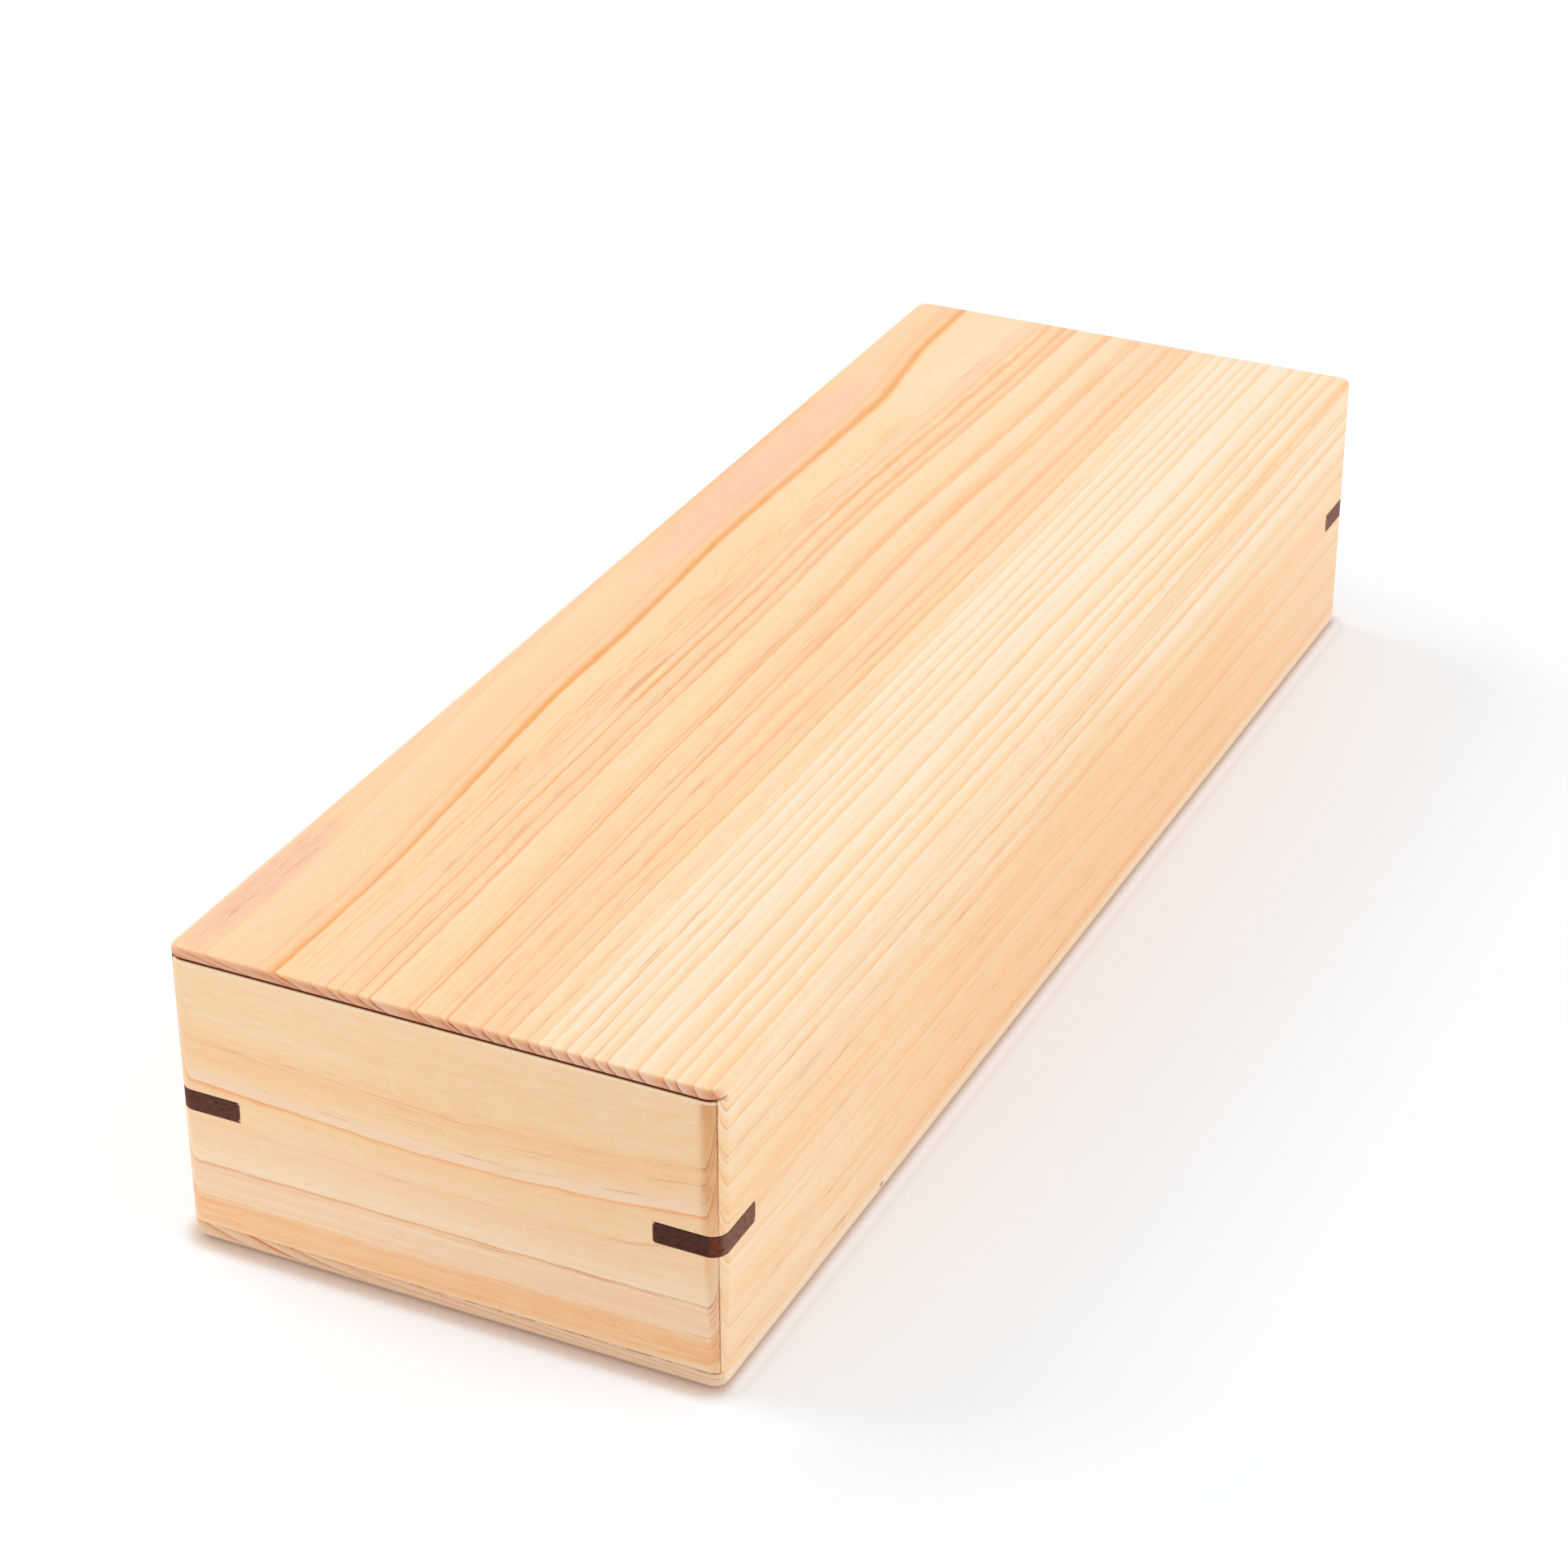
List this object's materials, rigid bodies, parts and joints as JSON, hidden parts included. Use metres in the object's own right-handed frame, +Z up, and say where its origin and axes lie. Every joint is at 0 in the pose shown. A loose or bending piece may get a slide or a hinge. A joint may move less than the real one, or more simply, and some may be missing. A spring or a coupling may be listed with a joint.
{
  "type": "sliding lid tool box",
  "caption": "Long low softwood tool box with mitred, keyed corners and a flush full-size lid that slides off one end.",
  "frame": {"origin": "middle of the base board's flat underside", "axes": "+Z up, +Y along the box towards the end that the lid is drawn off, X across the box"},
  "size_m": [0.1, 0.3, 0.0574],
  "materials": {
    "lid_wood": "satin",
    "wall_wood": "satin",
    "base_wood": "satin",
    "key_walnut": "satin"
  },
  "bodies": {
    "box": {"base_board": "base_wood", "front_end_board": "wall_wood", "rear_end_board": "wall_wood", "left_side_board": "wall_wood", "right_side_board": "wall_wood", "key_front_left": "key_walnut", "key_front_right": "key_walnut", "key_rear_left": "key_walnut", "key_rear_right": "key_walnut"},
    "lid": {"lid_board": "lid_wood", "lid_end_strip": "wall_wood"}
  },
  "joints": [
    {"name": "lid_slide", "type": "slide", "parent": "box", "child": "lid", "axis": [0, 1, 0], "range_m": [0, 0.31]}
  ]
}
